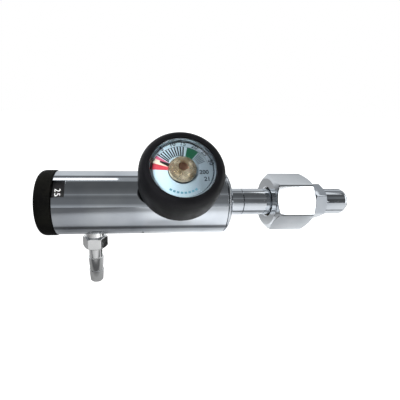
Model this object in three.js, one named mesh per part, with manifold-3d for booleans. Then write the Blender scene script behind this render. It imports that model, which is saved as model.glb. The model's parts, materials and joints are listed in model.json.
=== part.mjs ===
// Click-style flow-selecting gas regulator, with its contents gauge, hose outlet and loose inlet nut.
// Millimetres, +Z up. The barrel lies along X, and the origin is the tip of the inlet nose.
// Local frames of the side fittings run outwards from the barrel axis along their own X.

import * as THREE from 'three';
import { mergeVertices } from 'three/addons/utils/BufferGeometryUtils.js';
import Module from 'manifold-3d';

const wasm = await Module();
wasm.setup();

// ---- Driving dimensions ----------------------------------------------------------------------------------

const GAP = 0.3; // clearance between pieces that touch

const BARREL = { outer: 19, bore: 17, left: -179.1, right: -80.8 };
const WINDOW = { length: 7, lowElevation: 26, highElevation: 57 };
const FLANGE = { right: -76.8, tipRadius: 13.4 };
const STEM = { radius: 8.2, joint: -68, socketRadius: 5.5, socketEnd: -80.5 };
const NOSE = { radius: 8, hexFlats: 19.5, hexLeft: -24.4, hexRight: -16, hexTurn: 176.4, collar: 9.9 };
const NUT = { left: -51, right: -26.6, flats: 31, turn: 159.5, hole: 8.9, thread: 12.05, lip: 4 };
const KNOB = { radius: 19.5, left: -189.2, coreRadius: 16, ringRadius: 16.6, hubRadius: 15.2 };
const SELECTOR = { stations: 12, face: -169.3, ballCircle: 12, portCircle: 10.5, stopCircle: 7.5 };
const CORE = { left: -169, face: -150, skirt: -143, radius: 16.7, skirtBore: 14.9 };
const SHAFT = { left: -181.2, right: -145.2, radius: 3 };
const PISTON = { left: -142.7, headRight: -137.2, headRadius: 16.6, stemRadius: 4, stemEnd: -117.9 };
const BONNET = { left: -124, guideLeft: -130, guideRadius: 7.6, guideBore: 4.25, nozzleSeat: -115.5 };
const WAIST = { left: -104, right: -93, radius: 14.5 };
const NOZZLE = { throat: 0.7, lip: 1.3, radius: 2.9, passage: 1.6 };
const SPRING = { radius: 11.2, wire: 1.1, turns: 2.75 };
const OUTLET = { x: -158.6, hexFlats: 13.5, hexTop: 21.4, hexEnd: 28.9, tip: 52.55 };
const BARBS = {
  core: 4.15,
  first: [35.9, 4.85],
  firstEnd: [44.6, 4.25],
  second: [44.8, 4.65],
  secondEnd: [52.1, 4.05],
};
const RELIEF = { poppetSeat: 9, plugInner: 14.2, plugOuter: 18.6, plugRadius: 4, vent: 1.3 };
const VENT = { x: -131, elevation: 60, radius: 0.9 };
const GAUGE = { x: -110.4, elevation: 39.7, bootRadius: 21.9, opening: 16.45, caseRadius: 18.9 };
const DIAL = { radius: 18, back: 39.7, front: 40.3, hole: 2, zero: 156 };
const POINTER = { back: 40.6, front: 41.3, disc: 7.2, length: 12, hole: 1.3 };
const BOURDON = { height: 33, inner: 5.6, outer: 15.5, coils: 2.2 };

// Rubber rings: the middle, half width and floor of each groove, then the ring's own radius and section.
const SEALS = {
  bonnet: { x: -86.25, half: 1.25, floor: 15, ring: 15.98, section: 0.85 },
  core: { x: -151.9, half: 1.1, floor: 15, ring: 15.93, section: 0.85 },
  pistonHead: { x: -140.1, half: 1.4, floor: 14.6, ring: 15.75, section: 1 },
  pistonStem: { x: -126.1, half: 1.3, floor: 5.6, ring: 4.86, section: 0.65 },
  shaft: { x: -154.5, half: 1, floor: 4.6, ring: 3.88, section: 0.6 },
};

const FINE = 28; // facets of the outer skins
const ROUND = 20; // facets of the inner turned pieces
const SMALL = 12; // facets of pins, bores and rings under about 12 mm
const TINY = 8; // facets of drillings and other small rounds

// ---- Geometry helpers ------------------------------------------------------------------------------------

const radians = THREE.MathUtils.degToRad;

// Joins shared vertices, drops faces of no area, and turns the faces outwards.
function weld(geometry) {
  const bare = geometry.clone();
  bare.deleteAttribute('normal');
  bare.deleteAttribute('uv');
  const merged = mergeVertices(bare, 1e-4);
  const position = merged.getAttribute('position');
  const faces = [];
  let volume = 0;
  for (let i = 0; i < merged.index.count; i += 3) {
    const face = [0, 1, 2].map((k) => merged.index.getX(i + k));
    if (new Set(face).size < 3) continue;
    const [a, b, c] = face.map((vertex) => new THREE.Vector3().fromBufferAttribute(position, vertex));
    volume += a.dot(b.cross(c));
    faces.push(face);
  }
  const index = faces.flat();
  merged.setIndex(volume < 0 ? index.reverse() : index);
  return merged;
}

function toSolid(geometry) {
  const mesh = weld(geometry);
  const vertProperties = Float32Array.from(mesh.getAttribute('position').array);
  const triVerts = Uint32Array.from(mesh.index.array);
  return new wasm.Manifold(new wasm.Mesh({ numProp: 3, vertProperties, triVerts }));
}

function toGeometry(solid) {
  const mesh = solid.getMesh();
  const geometry = new THREE.BufferGeometry();
  geometry.setAttribute('position', new THREE.BufferAttribute(mesh.vertProperties, 3));
  geometry.setIndex(new THREE.BufferAttribute(mesh.triVerts, 1));
  return geometry;
}

const join = (first, ...others) =>
  toGeometry(others.reduce((sum, other) => sum.add(toSolid(other)), toSolid(first)));

const cut = (first, ...tools) =>
  toGeometry(tools.reduce((rest, tool) => rest.subtract(toSolid(tool)), toSolid(first)));

const common = (first, second) => toGeometry(toSolid(first).intersect(toSolid(second)));

// A turned piece about X. Its profile is a list of [x, radius], ending on the axis or closed on itself.
function turned(profile, facets = ROUND) {
  const points = profile.map(([x, radius]) => new THREE.Vector2(radius, x));
  if (profile[0][1] > 0) points.push(points[0].clone());
  return weld(new THREE.LatheGeometry(points, facets).rotateZ(-Math.PI / 2));
}

const rod = (from, to, radius, facets = SMALL) =>
  turned([[from, 0], [from, radius], [to, radius], [to, 0]], facets);

const tube = (from, to, bore, radius, facets = ROUND) =>
  turned([[from, bore], [from, radius], [to, radius], [to, bore]], facets);

// A rubber ring of round section about X.
const oRing = (x, radius, section, facets = ROUND) =>
  weld(new THREE.TorusGeometry(radius, section, 6, facets).rotateY(Math.PI / 2).translate(x, 0, 0));

const sealRing = ({ x, ring, section }, facets) => oRing(x, ring, section, facets);

// The four profile points of a seal's groove, in order of x, in a wall of the given radius.
const groove = ({ x, half, floor }, radius) => [
  [x - half, radius], [x - half, floor], [x + half, floor], [x + half, radius],
];

// A prism along X whose outline is drawn in the Y, Z plane.
function prism(outline, from, to) {
  const extruded = new THREE.ExtrudeGeometry(outline, { depth: to - from, bevelEnabled: false, steps: 1 });
  const alongX = new THREE.Matrix4().makeBasis(
    new THREE.Vector3(0, 1, 0),
    new THREE.Vector3(0, 0, 1),
    new THREE.Vector3(1, 0, 0),
  );
  return weld(extruded.applyMatrix4(alongX).translate(from, 0, 0));
}

const polar = (radius, degrees) =>
  new THREE.Vector2(radius * Math.cos(radians(degrees)), radius * Math.sin(radians(degrees)));

// A hexagonal prism; turn is the direction of one flat's normal in the Y, Z plane.
function hexPrism(from, to, flats, turn) {
  const corner = flats / 2 / Math.cos(radians(30));
  const points = [0, 1, 2, 3, 4, 5].map((k) => polar(corner, turn + 30 + 60 * k));
  return prism(new THREE.Shape(points), from, to);
}

// A hexagon with both its ends turned to a 30 degree chamfer.
function chamferedHex(from, to, flats, turn, facets = ROUND) {
  const corner = flats / 2 / Math.cos(radians(30)) + 0.1;
  const endRadius = flats / 2 - flats * 0.027;
  const depth = (corner - endRadius) * Math.tan(radians(30));
  const lens = turned(
    [[from, 0], [from, endRadius], [from + depth, corner], [to - depth, corner], [to, endRadius], [to, 0]],
    facets,
  );
  return common(hexPrism(from, to, flats, turn), lens);
}

// A slice of a tube about X, between two directions in the Y, Z plane.
function sector(from, to, bore, radius, start, end, stepDegrees = 12) {
  const steps = Math.ceil((end - start) / stepDegrees);
  const angles = Array.from({ length: steps + 1 }, (_, i) => start + ((end - start) * i) / steps);
  const outer = angles.map((angle) => polar(radius, angle));
  const inner = angles.reverse().map((angle) => polar(bore, angle));
  return prism(new THREE.Shape([...outer, ...inner]), from, to);
}

class Helix extends THREE.Curve {
  constructor(from, to, radius, turns) {
    super();
    Object.assign(this, { from, to, radius, turns });
  }

  getPoint(t, target = new THREE.Vector3()) {
    const angle = 2 * Math.PI * this.turns * t;
    const x = this.from + (this.to - this.from) * t;
    return target.set(x, this.radius * Math.cos(angle), this.radius * Math.sin(angle));
  }
}

// A compression spring about X, drawn between the centres of its end turns.
function spring(from, to, radius, wire, turns, stepsPerTurn = 12) {
  const section = new THREE.Shape([0, 1, 2, 3, 4].map((k) => polar(wire, 72 * k)));
  const extrudePath = new Helix(from, to, radius, turns);
  return weld(new THREE.ExtrudeGeometry(section, { steps: Math.round(turns * stepsPerTurn), extrudePath }));
}

// ---- Scene graph helpers ---------------------------------------------------------------------------------

const regulator = new THREE.Group();

// A frame at x on the barrel axis whose own X points outwards and whose own Y is given.
function sideFrame(x, outwards, sideways) {
  const up = new THREE.Vector3().crossVectors(outwards, sideways);
  return new THREE.Matrix4().makeBasis(outwards, sideways, up).setPosition(x, 0, 0);
}

function sideGroup(frame) {
  const group = new THREE.Group();
  group.applyMatrix4(frame);
  regulator.add(group);
  return group;
}

const FINISHES = {
  chrome: { color: 0xd4d8dc, roughness: 0.08, metalness: 1 },
  steel: { color: 0xa9adb0, roughness: 0.3, metalness: 1 },
  brass: { color: 0xc9a25a, roughness: 0.28, metalness: 1 },
  bronze: { color: 0x9a6a3a, roughness: 0.7, metalness: 1 },
  rubber: { color: 0x161615, roughness: 0.75, metalness: 0 },
  nylon: { color: 0x1b1b1c, roughness: 0.5, metalness: 0 },
  seat: { color: 0xe8e4d8, roughness: 0.55, metalness: 0 },
  dial: { color: 0xdfe9ef, roughness: 0.6, metalness: 0 },
  clear: { color: 0xf4fafc, roughness: 0.05, metalness: 0, transparent: true, opacity: 0.35 },
};

function add(group, name, geometry, finish, placed = new THREE.Vector3()) {
  const mesh = new THREE.Mesh(geometry, new THREE.MeshStandardMaterial(FINISHES[finish]));
  mesh.name = name;
  mesh.position.copy(placed);
  group.add(mesh);
  return mesh;
}

const gaugeDirection = new THREE.Vector3(
  0,
  -Math.cos(radians(GAUGE.elevation)),
  Math.sin(radians(GAUGE.elevation)),
);
const gaugeFrame = sideFrame(GAUGE.x, gaugeDirection, new THREE.Vector3(1, 0, 0));
const outletFrame = sideFrame(OUTLET.x, new THREE.Vector3(0, 0, -1), new THREE.Vector3(0, -1, 0));
const reliefFrame = sideFrame(OUTLET.x, new THREE.Vector3(0, 1, 0), new THREE.Vector3(1, 0, 0));

// ---- Barrel ----------------------------------------------------------------------------------------------

function bodyShell() {
  const { outer, bore, left, right } = BARREL;
  const barrel = turned(
    [
      [left, bore], [left, outer - 0.3], [left + 0.3, outer], [right - 0.4, outer], [right, outer - 0.4],
      [right, bore],
    ],
    FINE,
  );
  const notch = sector(
    left - 1,
    left + WINDOW.length,
    bore - 2,
    outer + 2,
    180 - WINDOW.highElevation,
    180 - WINDOW.lowElevation,
  );
  const gaugeHole = join(rod(14, 20, 5.6), rod(18.3, 24, 8.7)).applyMatrix4(gaugeFrame);
  const outletHole = join(rod(14, 20, 3.8), rod(18.2, 22, 6.2)).applyMatrix4(outletFrame);
  const reliefHole = rod(14, 22, 4.6).applyMatrix4(reliefFrame);
  const vent = rod(14, 22, VENT.radius, TINY)
    .rotateZ(Math.PI / 2)
    .rotateX(radians(-VENT.elevation))
    .translate(VENT.x, 0, 0);
  return cut(barrel, notch, gaugeHole, outletHole, reliefHole, vent);
}

// ---- Inlet: bonnet, nipple, nut --------------------------------------------------------------------------

function inletBonnet() {
  const { left, guideLeft, guideRadius, guideBore, nozzleSeat } = BONNET;
  const radius = BARREL.bore - GAP;
  const block = turned([
    [guideLeft, guideBore], [guideLeft, guideRadius], [left, guideRadius], [left, radius],
    [WAIST.left, radius], [WAIST.left, WAIST.radius], [WAIST.right, WAIST.radius], [WAIST.right, radius],
    ...groove(SEALS.bonnet, radius), [BARREL.right + GAP, radius], [BARREL.right + GAP, 18.6],
    [BARREL.right + 0.7, BARREL.outer], [BARREL.right + 1.9, BARREL.outer - 1],
    [BARREL.right + 3.1, BARREL.outer - 2.9],
    [FLANGE.right, FLANGE.tipRadius], [FLANGE.right, STEM.radius], [STEM.joint, STEM.radius],
    [STEM.joint, STEM.socketRadius], [STEM.socketEnd, STEM.socketRadius],
    [STEM.socketEnd, NOZZLE.passage], [nozzleSeat + 2.3, NOZZLE.passage],
    [nozzleSeat + 2.3, NOZZLE.radius + 0.4], [nozzleSeat, NOZZLE.radius + 0.4], [nozzleSeat, guideBore],
    ...groove(SEALS.pistonStem, guideBore).reverse(),
  ]);
  const gaugePort = join(rod(8, 18, 5.3), rod(0, 9, 1.2, TINY)).applyMatrix4(gaugeFrame);
  return cut(block, gaugePort);
}

function inletNipple() {
  const { radius, hexFlats, hexLeft, hexRight, hexTurn, collar } = NOSE;
  const shoulder = STEM.joint + GAP;
  const body = turned([
    [-79.2, 2], [-79.2, 5.2], [shoulder, 5.2], [shoulder, STEM.radius - 0.2], [shoulder + 0.2, STEM.radius],
    [hexLeft - 2.2, STEM.radius], [hexLeft - 2.2, collar], [hexLeft, collar], [hexLeft, radius],
    [-3.4, radius], [-2.2, 7.5], [-1.5, 6.7], [-1.5, 6.5], [-2.2, 6.5], [-2.2, 4.1], [-0.9, 4.1],
    [-0.9, 3.4], [-9, 3.4], [-9, 2],
  ]);
  const hex = chamferedHex(hexLeft - 0.4, hexRight, hexFlats, hexTurn);
  const hexRing = cut(hex, rod(hexLeft - 2, hexRight + 2, radius - 0.5, ROUND));
  return join(body, hexRing);
}

function inletNut() {
  const { left, right, flats, turn, hole, thread, lip } = NUT;
  const undercut = thread + 0.9;
  const mouth = thread + 1.2;
  const bore = turned([
    [left - 2, 0], [left - 2, hole + 2.6], [left + 0.6, hole], [left + lip, hole], [left + lip, undercut],
    [left + lip + 1.6, undercut], [left + lip + 2.5, thread], [right - 1.2, thread], [right, mouth],
    [right + 2, mouth], [right + 2, 0],
  ]);
  return cut(chamferedHex(left, right, flats, turn, FINE), bore);
}

function addInlet() {
  const lipInside = NUT.left + NUT.lip;
  add(regulator, 'inlet_bonnet', inletBonnet(), 'chrome');
  add(regulator, 'bonnet_o_ring', sealRing(SEALS.bonnet), 'rubber');
  add(regulator, 'inlet_nipple', inletNipple(), 'chrome');
  add(regulator, 'nipple_seal', tube(-80.2, -79.5, 2.2, 5.1, SMALL), 'seat');
  add(regulator, 'inlet_filter', rod(-8.7, -1.4, 3.1), 'bronze');
  add(regulator, 'nose_o_ring', oRing(-1.05, 5.3, 1.05, SMALL), 'rubber');
  add(regulator, 'inlet_nut', inletNut(), 'chrome');
  add(regulator, 'thrust_washer', tube(lipInside + GAP, lipInside + 1.3, 8.5, 11.4), 'brass');
}

// ---- Pressure stage: nozzle, piston, spring --------------------------------------------------------------

function piston() {
  const { left, headRight, headRadius, stemRadius, stemEnd } = PISTON;
  const body = turned([
    [-121, 0], [-121, 1.5], [left, 1.5], [left, headRadius], ...groove(SEALS.pistonHead, headRadius),
    [headRight, headRadius], [headRight, 6], [headRight + 1.5, stemRadius], [stemEnd, stemRadius],
    [stemEnd, 2.9], [stemEnd - 2, 2.9], [stemEnd - 2, 0],
  ]);
  const crossDrilling = rod(-6, 6, 0.8, TINY).rotateZ(Math.PI / 2).translate(-122.5, 0, 0);
  return cut(body, crossDrilling);
}

function inletNozzle() {
  const seat = BONNET.nozzleSeat;
  const { throat, lip, radius } = NOZZLE;
  return turned(
    [[seat - 0.6, throat], [seat - 0.6, lip], [seat + GAP, radius], [seat + 2, radius], [seat + 2, throat]],
    SMALL,
  );
}

function addPressureStage() {
  const { headRight, stemEnd } = PISTON;
  const { radius, wire, turns } = SPRING;
  const endGap = GAP + wire + 0.2;
  add(regulator, 'inlet_nozzle', inletNozzle(), 'brass');
  add(regulator, 'piston', piston(), 'brass');
  add(regulator, 'seat_insert', rod(stemEnd - 1.7, stemEnd + 0.5, 2.6), 'seat');
  add(regulator, 'piston_head_o_ring', sealRing(SEALS.pistonHead), 'rubber');
  add(regulator, 'piston_stem_o_ring', sealRing(SEALS.pistonStem, SMALL), 'rubber');
  const coil = spring(headRight + endGap, BONNET.left - endGap, radius, wire, turns);
  add(regulator, 'main_spring', coil, 'steel');
}

// ---- Flow selector ---------------------------------------------------------------------------------------

const pitch = 360 / SELECTOR.stations;
const portDirection = -90; // the outlet lies straight down
const ballDirections = [135, 315];
const stopDirection = 180;
const stopMargin = 9; // half the stop pin's angle in its groove, with its clearance
const selectorTravel = (SELECTOR.stations - 1) * pitch;

const onCircle = (x, radius, degrees) => {
  const point = polar(radius, degrees);
  return new THREE.Vector3(x, point.x, point.y);
};

function drilling(from, to, radius, circle, degrees, facets = TINY) {
  const centre = onCircle(0, circle, degrees);
  return rod(from, to, radius, facets).translate(0, centre.y, centre.z);
}

function flowCore() {
  const { left, face, skirt, radius, skirtBore } = CORE;
  const shaftBore = SHAFT.radius + GAP + 0.1;
  const body = turned([
    [left, shaftBore], [left, radius], ...groove(SEALS.core, radius), [skirt, radius], [skirt, skirtBore],
    [face, skirtBore], [face, shaftBore], ...groove(SEALS.shaft, shaftBore).reverse(),
  ]);
  const outletBore = rod(9, 18, 3.4).applyMatrix4(outletFrame);
  const reliefBore = join(rod(8, 18, 4.3), rod(5.7, 9, 1.6, TINY)).applyMatrix4(reliefFrame);
  const ballBores = ballDirections.map((at) => drilling(left - 1, -161.8, 1.9, SELECTOR.ballCircle, at));
  return cut(
    body,
    outletBore,
    reliefBore,
    drilling(OUTLET.x, face + 1, 1.4, SELECTOR.portCircle, portDirection),
    drilling(face - 2.4, face + 1, 2.9, SELECTOR.portCircle, portDirection),
    drilling(OUTLET.x, face + 1, 1, 6.7, 0),
    drilling(left - 1, -160, 1.2, SELECTOR.stopCircle, stopDirection),
    ...ballBores,
  );
}

// The knob's core: a drum with a dimple for each station and a groove that ends its turn.
function selectorKnob() {
  const { left, coreRadius, hubRadius } = KNOB;
  const { face, ballCircle, stations, stopCircle } = SELECTOR;
  const shaftBore = SHAFT.radius + GAP;
  const body = turned([
    [left + 2.4, 4.2], [left + 2.4, coreRadius], [BARREL.left, coreRadius], [BARREL.left, hubRadius],
    [face, hubRadius], [face, shaftBore], [SHAFT.left - GAP, shaftBore], [SHAFT.left - GAP, 1.8],
    [-183, 1.8], [-183, 4.2],
  ]);
  const dimples = Array.from({ length: stations }, (_, k) => {
    const centre = onCircle(0, ballCircle, ballDirections[0] + k * pitch);
    const drillPoint = turned([[face - 1, 0], [face + 0.2, 1.8], [face + 1, 1.8], [face + 1, 0]], TINY);
    return drillPoint.translate(0, centre.y, centre.z);
  });
  const groove = sector(
    face - 2.2,
    face + 1,
    stopCircle - 1.5,
    stopCircle + 1.5,
    stopDirection - selectorTravel - stopMargin,
    stopDirection + stopMargin,
  );
  return cut(body, groove, ...dimples);
}

// The rotor plate: one blank station and a drilling that grows with each flow setting.
function orificeDisc() {
  const left = CORE.face + GAP;
  const plate = tube(left, left + 2.3, SHAFT.radius + 0.2, CORE.skirtBore - 0.4);
  const holes = Array.from({ length: SELECTOR.stations - 1 }, (_, k) =>
    drilling(left - 1, left + 4, 1.1 - 0.07 * k, SELECTOR.portCircle, portDirection + k * pitch, 8));
  return cut(plate, ...holes);
}

function selectorShaft() {
  const { left, right, radius } = SHAFT;
  return turned(
    [
      [-174, 0], [-174, 1.7], [left, 1.7], [left, radius], [right - 1.9, radius], [right - 1.9, 2.4],
      [right - 0.5, 2.4], [right - 0.5, radius], [right, radius - 0.3], [right, 0],
    ],
    SMALL,
  );
}

function knobScrew() {
  const blank = turned(
    [[-185.2, 0], [-185.2, 3.6], [-183.3, 3.6], [-183.3, 1.4], [-176, 1.4], [-176, 0]],
    SMALL,
  );
  return cut(blank, hexPrism(-187, -184, 2.5, 0));
}

function knobGrip() {
  const { radius, left, coreRadius } = KNOB;
  const right = BARREL.left - GAP;
  return turned(
    [
      [left, 14.5], [left, radius - 2.7], [left + 1, radius - 1.3], [left + 2.4, radius - 0.3],
      [left + 3.6, radius],
      [right - 0.4, radius], [right, radius - 0.4], [right, coreRadius + GAP],
      [left + 2.1, coreRadius + GAP], [left + 2.1, 14.5],
    ],
    FINE,
  );
}

function addSelector() {
  const { left } = KNOB;
  const { face, ballCircle, portCircle, stopCircle } = SELECTOR;
  add(regulator, 'selector_knob', selectorKnob(), 'nylon');
  add(regulator, 'knob_grip', knobGrip(), 'rubber');
  add(regulator, 'knob_end_cap', rod(left + 0.3, left + 2.1, 14.2, ROUND), 'nylon');
  add(regulator, 'knob_screw', knobScrew(), 'steel');
  add(regulator, 'number_ring', tube(BARREL.left + GAP, face - 1.2, 15.5, KNOB.ringRadius, FINE), 'nylon');
  add(regulator, 'selector_shaft', selectorShaft(), 'steel');
  add(regulator, 'orifice_disc', orificeDisc(), 'steel');
  add(regulator, 'shaft_clip', sector(-146.9, -145.9, 2.55, 5, 35, 325), 'steel');
  add(regulator, 'flow_core', flowCore(), 'brass');
  add(regulator, 'core_o_ring', sealRing(SEALS.core), 'rubber');
  add(regulator, 'shaft_o_ring', sealRing(SEALS.shaft, SMALL), 'rubber');
  const port = onCircle(0, portCircle, portDirection);
  add(regulator, 'port_seal', tube(CORE.face - 2.1, CORE.face, 1.5, 2.6, TINY), 'seat', port);
  const pin = onCircle(0, stopCircle, stopDirection);
  add(regulator, 'stop_pin', rod(face - 1.6, -160.3, 0.9, TINY), 'steel', pin);
  ballDirections.forEach((direction, i) => {
    const ball = weld(new THREE.SphereGeometry(1.6, TINY, 8));
    add(regulator, `detent_ball_${i + 1}`, ball, 'steel', onCircle(face + 1.7, ballCircle, direction));
    const coil = spring(-165.5, -162.4, 1.25, 0.28, 3, 8);
    add(regulator, `detent_spring_${i + 1}`, coil, 'steel', onCircle(0, ballCircle, direction));
  });
}

// ---- Hose outlet -----------------------------------------------------------------------------------------

function outletBarb() {
  const { hexFlats, hexTop, hexEnd, tip } = OUTLET;
  const { core, first, firstEnd, second, secondEnd } = BARBS;
  const bore = 1.7;
  const body = turned(
    [
      [10.2, bore], [10.2, 3.1], [19.5, 3.1], [19.5, 5.1], [18.5, 5.1], [18.5, 5.5], [hexTop + 0.4, 5.5],
      [hexTop + 0.4, core], [first[0] - 0.2, core], first, firstEnd, second, secondEnd, [tip, 3.7],
      [tip, bore],
    ],
    24,
  );
  const hex = chamferedHex(hexTop, hexEnd, hexFlats, 0, SMALL);
  return join(body, cut(hex, rod(hexTop - 2, hexEnd + 2, 3, TINY)));
}

function addOutlet() {
  const group = sideGroup(outletFrame);
  add(group, 'outlet_barb', outletBarb(), 'chrome');
  add(group, 'outlet_o_ring', oRing(18.85, 4.2, 0.5, SMALL), 'rubber');
}

// ---- Relief valve ----------------------------------------------------------------------------------------

function reliefPlug() {
  const { plugInner, plugOuter, plugRadius, vent } = RELIEF;
  const blank = turned(
    [
      [plugInner, plugRadius - 1], [plugInner, plugRadius], [plugOuter, plugRadius], [plugOuter, vent],
      [plugOuter - 3, vent], [plugOuter - 3, plugRadius - 1],
    ],
    SMALL,
  );
  const slot = new THREE.BoxGeometry(1.2, 10, 1.1).translate(plugOuter, 0, 0);
  return cut(blank, slot);
}

function addReliefValve() {
  const group = sideGroup(reliefFrame);
  const seat = RELIEF.poppetSeat;
  const poppet = turned(
    [[seat, 0], [seat, 3.4], [seat + 1.2, 3.4], [seat + 1.2, 1], [seat + 3.6, 1], [seat + 3.6, 0]],
    SMALL,
  );
  add(group, 'relief_plug', reliefPlug(), 'brass');
  add(group, 'relief_poppet', poppet, 'brass');
  add(group, 'relief_seal', rod(seat - 0.7, seat - GAP, 2.6), 'seat');
  add(group, 'relief_spring', spring(10.9, 14.9, 2.2, 0.33, 4, 9), 'steel');
}

// ---- Gauge -----------------------------------------------------------------------------------------------

function gaugeSocket() {
  const body = turned(
    [
      [33, 0], [33, 1], [8.4, 1], [8.4, 5], [20.2, 5], [20.2, 4], [27.5, 4], [27.5, 6], [29.5, 6],
      [29.5, 4.5], [39.4, 4.5], [39.4, 1.3], [34.5, 1.3], [34.5, 0],
    ],
    SMALL,
  );
  const hex = chamferedHex(19.8, 24.6, 14, 0, SMALL);
  return join(body, cut(hex, rod(18, 26, 3, TINY)));
}

function gaugeBoot() {
  const { bootRadius: radius, opening, caseRadius } = GAUGE;
  const caseBore = caseRadius + GAP;
  return turned(
    [
      [24.9, 9.2], [24.9, radius - 3.2], [25.9, radius - 1], [28.2, radius], [38, radius],
      [42.4, radius - 0.7], [44.5, radius - 1.8], [45.5, radius - 3.1], [45.7, radius - 4.3],
      [45.4, opening], [44.9, opening], [44.9, radius - 3.3], [44.3, caseBore], [25.7, caseBore],
      [25.7, 9.2],
    ],
    FINE,
  );
}

function gaugeLens() {
  const flange = DIAL.radius;
  return turned([
    [46.1, 0], [45.6, 8.5], [44.5, 13.2], [42.6, 15], [42.6, flange], [43.4, flange], [43.4, 15.9],
    [44.8, 15.2], [46.3, 10.5], [47.1, 0],
  ]);
}

function gaugePointer() {
  const { back, front, disc, length, hole } = POINTER;
  const direction = DIAL.zero;
  const hub = tube(back, front, hole, disc, ROUND);
  const tip = polar(length, direction);
  const root = polar(6, direction);
  const side = polar(0.8, direction + 90);
  const needle = new THREE.Shape([
    root.clone().sub(side),
    tip.clone().addScaledVector(side, -0.35),
    tip.clone().addScaledVector(side, 0.35),
    root.clone().add(side),
  ]);
  return join(hub, prism(needle, back, front));
}

function hubScrew() {
  const dome = turned([
    [42.7, 0], [42.7, 1.3], [41.6, 1.3], [41.6, 7], [42.5, 7], [43.4, 6.5], [44.3, 5.4], [45, 4], [45.6, 0],
  ]);
  return cut(dome, hexPrism(43.9, 47, 4.5, 0));
}

// A flattened tube wound about the socket.
function bourdonSpiral() {
  const section = new THREE.Shape([
    new THREE.Vector2(-1.6, 0), new THREE.Vector2(-1.1, -0.45), new THREE.Vector2(1.1, -0.45),
    new THREE.Vector2(1.6, 0), new THREE.Vector2(1.1, 0.45), new THREE.Vector2(-1.1, 0.45),
  ]);
  const { height, inner, outer, coils } = BOURDON;
  const steps = 32;
  const points = Array.from({ length: steps + 1 }, (_, i) => {
    const at = polar(inner + ((outer - inner) * i) / steps, (360 * coils * i) / steps);
    return new THREE.Vector3(height, at.x, at.y);
  });
  const extrudePath = new THREE.CatmullRomCurve3(points);
  return weld(new THREE.ExtrudeGeometry(section, { steps, extrudePath }));
}

function addGauge() {
  const group = sideGroup(gaugeFrame);
  const { caseRadius, opening } = GAUGE;
  const caseBore = DIAL.radius + GAP;
  const caseProfile = [
    [26, 4.3], [26, caseRadius - 1], [27, caseRadius], [43.5, caseRadius], [43.5, caseBore],
    [27.2, caseBore], [27.2, 4.3],
  ];
  add(group, 'gauge_socket', gaugeSocket(), 'brass');
  add(group, 'gauge_gasket', tube(18.5, 19.5, 5.3, 7.2, SMALL), 'seat');
  add(group, 'gauge_case', turned(caseProfile), 'steel');
  add(group, 'gauge_boot', gaugeBoot(), 'rubber');
  add(group, 'gauge_bezel', tube(43.8, 44.5, opening - 0.25, caseRadius - GAP), 'chrome');
  add(group, 'gauge_lens', gaugeLens(), 'clear');
  add(group, 'gauge_dial', tube(DIAL.back, DIAL.front, DIAL.hole, DIAL.radius), 'dial');
  add(group, 'bourdon_spiral', bourdonSpiral(), 'bronze');
  add(group, 'pointer_arbor', rod(34.9, 42.4, 1, TINY), 'steel');
  add(group, 'gauge_pointer', gaugePointer(), 'nylon');
  add(group, 'hub_screw', hubScrew(), 'brass');
}

// ---- Assembly --------------------------------------------------------------------------------------------

add(regulator, 'body_shell', bodyShell(), 'chrome');
addInlet();
addPressureStage();
addSelector();
addOutlet();
addReliefValve();
addGauge();

export default regulator;
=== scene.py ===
"""Looks of the click-style gas regulator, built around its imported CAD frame.

Metres, +Z up, barrel along X.
"""

import json
import math

import bmesh
import bpy
from mathutils import Matrix, Vector

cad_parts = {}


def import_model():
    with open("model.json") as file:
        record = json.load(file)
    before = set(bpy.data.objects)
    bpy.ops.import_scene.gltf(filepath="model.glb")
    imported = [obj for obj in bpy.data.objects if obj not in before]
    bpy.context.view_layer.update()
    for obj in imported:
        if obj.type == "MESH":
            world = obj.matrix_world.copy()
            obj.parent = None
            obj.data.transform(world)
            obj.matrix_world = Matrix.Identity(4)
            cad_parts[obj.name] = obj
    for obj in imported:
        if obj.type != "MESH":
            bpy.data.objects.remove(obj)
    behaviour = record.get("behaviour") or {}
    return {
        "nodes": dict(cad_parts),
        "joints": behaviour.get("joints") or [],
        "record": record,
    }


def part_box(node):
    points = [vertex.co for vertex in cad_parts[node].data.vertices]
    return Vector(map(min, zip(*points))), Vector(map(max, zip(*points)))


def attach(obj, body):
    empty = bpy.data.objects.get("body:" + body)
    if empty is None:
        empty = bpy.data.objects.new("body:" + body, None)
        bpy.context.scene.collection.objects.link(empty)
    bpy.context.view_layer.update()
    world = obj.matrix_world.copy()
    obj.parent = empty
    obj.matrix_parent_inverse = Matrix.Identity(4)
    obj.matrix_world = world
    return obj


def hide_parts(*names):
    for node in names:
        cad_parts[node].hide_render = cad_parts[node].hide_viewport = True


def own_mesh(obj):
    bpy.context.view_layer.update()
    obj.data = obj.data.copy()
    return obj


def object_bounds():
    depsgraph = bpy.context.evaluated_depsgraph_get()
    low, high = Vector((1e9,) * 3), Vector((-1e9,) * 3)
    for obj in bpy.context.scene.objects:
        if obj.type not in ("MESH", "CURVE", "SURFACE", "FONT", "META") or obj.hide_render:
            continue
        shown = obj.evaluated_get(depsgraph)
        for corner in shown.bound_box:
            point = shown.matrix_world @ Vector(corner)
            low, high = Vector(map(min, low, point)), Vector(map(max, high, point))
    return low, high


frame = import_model()
CAD_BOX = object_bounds()
MM = 0.001


# ---- Measures read from the frame ------------------------------------------------------------------------

def span(node):
    """(lowest x, highest x, half height) of a node turned about the barrel axis, in millimetres."""
    low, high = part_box(node)
    return low.x / MM, high.x / MM, high.z / MM


def named_joint(name):
    return next(j for j in frame["joints"] if j["name"] == name)


def mount(name):
    return next(m for m in frame["record"]["mounts"] if m["name"] == name)


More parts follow.
